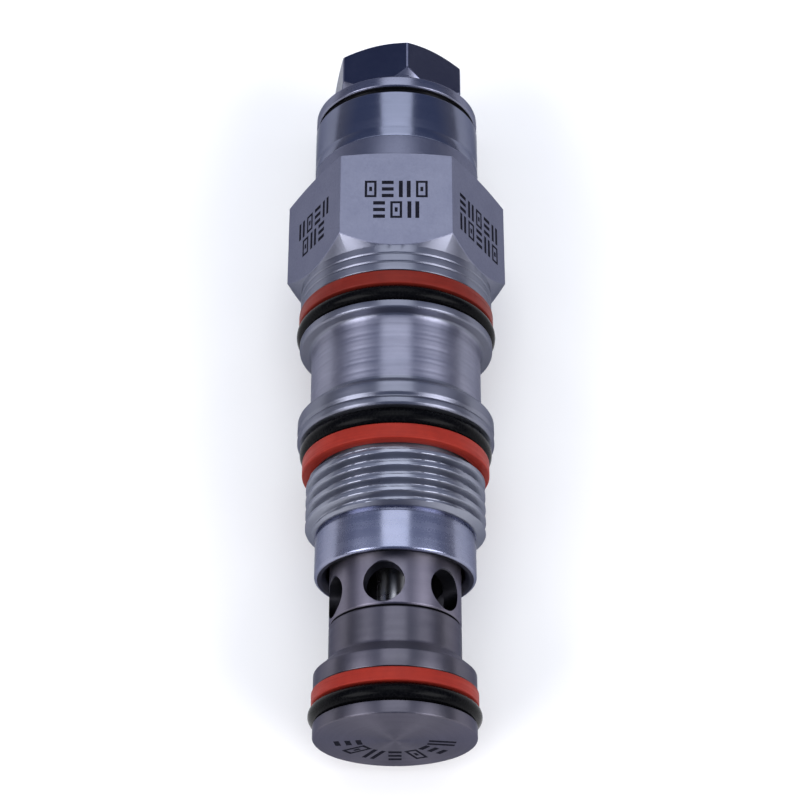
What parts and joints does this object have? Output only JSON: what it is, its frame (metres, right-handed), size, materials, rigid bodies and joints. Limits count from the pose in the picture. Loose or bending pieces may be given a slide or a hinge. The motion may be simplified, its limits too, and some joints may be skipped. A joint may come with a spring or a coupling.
{
  "type": "cartridge valve",
  "caption": "Screw-in hydraulic relief cartridge with a hex head, sealed adjuster cap, necked gallery, seal collars and a ported floating nose sleeve.",
  "frame": {"origin": "centre of the bounding box in X and Y, at its lowest Z: the lowest line of the upper O-ring, on which the valve lies", "axes": "+Y along the valve's axis from the nose face to the cap's end; +Z square to the hex flat that faces up; X across"},
  "size_m": [0.0256, 0.0856, 0.023],
  "materials": {
    "zinc_steel": "turned, pale blue-violet zinc plating, satin",
    "cap_steel": "turned and milled, dark blue-violet zinc plating, semi-gloss",
    "dark_steel": "turned, darker purple-grey plating, satin",
    "inner_steel": "plain ground or turned steel",
    "brass": "turned",
    "black_rubber": "smooth oiled nitrile",
    "red_ring": "brick-red back-up ring, satin"
  },
  "bodies": {
    "valve_body": {"valve_body": "zinc_steel", "upper_o_ring": "black_rubber", "upper_backup_ring": "red_ring", "lower_backup_ring": "red_ring", "lower_o_ring": "black_rubber", "valve_seat": "inner_steel", "seat_o_ring": "black_rubber", "adjuster_gland": "inner_steel", "gland_o_ring": "black_rubber", "adjuster_o_ring": "black_rubber", "main_spring": "inner_steel"},
    "nose_sleeve": {"port_sleeve": "dark_steel", "nose_plug": "dark_steel", "nose_o_ring": "black_rubber", "nose_backup_ring": "red_ring", "sleeve_retaining_ring": "inner_steel", "sleeve_o_ring": "black_rubber"},
    "poppet_stack": {"poppet": "inner_steel", "damping_piston": "brass", "piston_nut": "inner_steel", "lower_spring_seat": "inner_steel"},
    "spring_adjuster": {"upper_spring_seat": "inner_steel", "spring_shim": "inner_steel", "thrust_ball": "inner_steel"},
    "adjusting_screw": {"adjusting_screw": "inner_steel"},
    "lock_washer": {"lock_washer": "inner_steel"},
    "lock_nut": {"lock_nut": "inner_steel"},
    "cap_gasket": {"cap_gasket": "black_rubber"},
    "sealing_cap": {"sealing_cap": "cap_steel"}
  },
  "joints": [
    {"name": "poppet_lift", "type": "slide", "parent": "valve_body", "child": "poppet_stack", "axis": [0, 1, 0], "range_m": [0, 0.002], "stiffness_N_per_m": 150, "springref_m": -0.004, "deforming": ["main_spring"]},
    {"name": "adjuster_travel", "type": "slide", "parent": "valve_body", "child": "spring_adjuster", "axis": [0, -1, 0], "range_m": [0, 0.0025], "deforming": ["main_spring"]},
    {"name": "adjuster_spin", "type": "hinge", "parent": "spring_adjuster", "child": "adjusting_screw", "pos_m": [0, 0.03, 0.01148], "axis": [0, -1, 0], "range_deg": [0, 1200.5]},
    {"name": "lock_nut_travel", "type": "slide", "parent": "valve_body", "child": "lock_washer", "axis": [0, 1, 0], "range_m": [0, 0.00075]},
    {"name": "lock_nut_spin", "type": "hinge", "parent": "lock_washer", "child": "lock_nut", "pos_m": [0, 0.0325, 0.01148], "axis": [0, 1, 0], "range_deg": [0, 360.5]},
    {"name": "cap_lift", "type": "slide", "parent": "valve_body", "child": "cap_gasket", "axis": [0, 1, 0], "range_m": [0, 0.004]},
    {"name": "cap_spin", "type": "hinge", "parent": "cap_gasket", "child": "sealing_cap", "pos_m": [0, 0.038, 0.01148], "axis": [0, 1, 0], "range_deg": [0, 1440.5]},
    {"name": "nose_swivel", "type": "hinge", "parent": "valve_body", "child": "nose_sleeve", "pos_m": [0, -0.03, 0.01148], "axis": [0, 1, 0], "continuous": true}
  ],
  "couplings": [
    {"joint": "adjuster_spin", "follows": "adjuster_travel", "rad_per_m": 8377.6},
    {"joint": "lock_nut_spin", "follows": "lock_nut_travel", "rad_per_m": 8377.6},
    {"joint": "cap_spin", "follows": "cap_lift", "rad_per_m": 6283.2}
  ]
}
